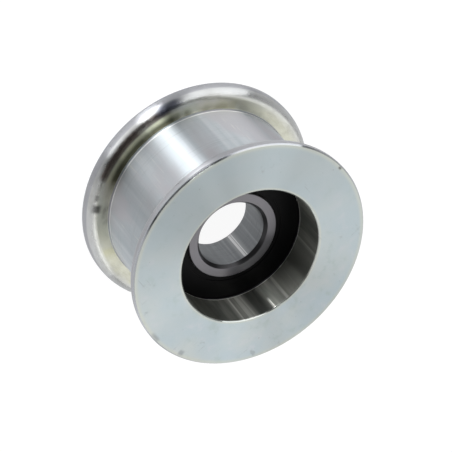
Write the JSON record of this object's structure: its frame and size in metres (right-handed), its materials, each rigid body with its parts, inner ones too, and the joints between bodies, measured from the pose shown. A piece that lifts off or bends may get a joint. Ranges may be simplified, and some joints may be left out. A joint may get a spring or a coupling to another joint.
{
  "type": "flat belt idler pulley",
  "caption": "Flat belt idler pulley with a flange at each end, turning on a sealed ball bearing in a deep recess.",
  "frame": {"origin": "centre of the rear face that the pulley stands on, on the bore's axis", "axes": "+Z along the bore's axis, from the rear face to the recessed front face; +X towards the gap of the retaining ring"},
  "size_m": [0.088, 0.088, 0.046],
  "materials": {
    "zinc_plate": "bright zinc plating on turned steel, satin face and glossy drum",
    "bearing_steel": "ground bearing steel",
    "ball_steel": "polished bearing steel",
    "pressed_steel": "pressed sheet steel, oiled",
    "seal_rubber": "satin black nitrile",
    "spring_steel": "dark phosphated spring steel"
  },
  "bodies": {
    "inner_ring": {"bearing_inner_ring": "bearing_steel"},
    "pulley": {"pulley_body": "zinc_plate", "bearing_outer_ring": "bearing_steel", "front_seal": "seal_rubber", "rear_seal": "seal_rubber", "retaining_ring": "spring_steel"},
    "cage": {"cage_front_half": "pressed_steel", "cage_rear_half": "pressed_steel", "cage_rivets": "pressed_steel"},
    "ball_1": {"ball_1": "ball_steel"},
    "ball_2": {"ball_2": "ball_steel"},
    "ball_3": {"ball_3": "ball_steel"},
    "ball_4": {"ball_4": "ball_steel"},
    "ball_5": {"ball_5": "ball_steel"},
    "ball_6": {"ball_6": "ball_steel"},
    "ball_7": {"ball_7": "ball_steel"}
  },
  "joints": [
    {"name": "pulley_spin", "type": "hinge", "parent": "inner_ring", "child": "pulley", "pos_m": [0, 0, 0.023], "axis": [0, 0, 1], "continuous": true},
    {"name": "cage_orbit", "type": "hinge", "parent": "inner_ring", "child": "cage", "pos_m": [0, 0, 0.023], "axis": [0, 0, 1], "continuous": true},
    {"name": "ball_1_spin", "type": "hinge", "parent": "cage", "child": "ball_1", "pos_m": [0.02175, 0, 0.023], "axis": [0, 0, 1], "continuous": true},
    {"name": "ball_2_spin", "type": "hinge", "parent": "cage", "child": "ball_2", "pos_m": [0.01356, 0.017, 0.023], "axis": [0, 0, 1], "continuous": true},
    {"name": "ball_3_spin", "type": "hinge", "parent": "cage", "child": "ball_3", "pos_m": [-0.00484, 0.0212, 0.023], "axis": [0, 0, 1], "continuous": true},
    {"name": "ball_4_spin", "type": "hinge", "parent": "cage", "child": "ball_4", "pos_m": [-0.0196, 0.00944, 0.023], "axis": [0, 0, 1], "continuous": true},
    {"name": "ball_5_spin", "type": "hinge", "parent": "cage", "child": "ball_5", "pos_m": [-0.0196, -0.00944, 0.023], "axis": [0, 0, 1], "continuous": true},
    {"name": "ball_6_spin", "type": "hinge", "parent": "cage", "child": "ball_6", "pos_m": [-0.00484, -0.0212, 0.023], "axis": [0, 0, 1], "continuous": true},
    {"name": "ball_7_spin", "type": "hinge", "parent": "cage", "child": "ball_7", "pos_m": [0.01356, -0.017, 0.023], "axis": [0, 0, 1], "continuous": true}
  ],
  "couplings": [
    {"joint": "cage_orbit", "follows": "pulley_spin", "ratio": 0.63218},
    {"joint": "ball_1_spin", "follows": "pulley_spin", "ratio": 1.7591},
    {"joint": "ball_2_spin", "follows": "pulley_spin", "ratio": 1.7591},
    {"joint": "ball_3_spin", "follows": "pulley_spin", "ratio": 1.7591},
    {"joint": "ball_4_spin", "follows": "pulley_spin", "ratio": 1.7591},
    {"joint": "ball_5_spin", "follows": "pulley_spin", "ratio": 1.7591},
    {"joint": "ball_6_spin", "follows": "pulley_spin", "ratio": 1.7591},
    {"joint": "ball_7_spin", "follows": "pulley_spin", "ratio": 1.7591}
  ]
}
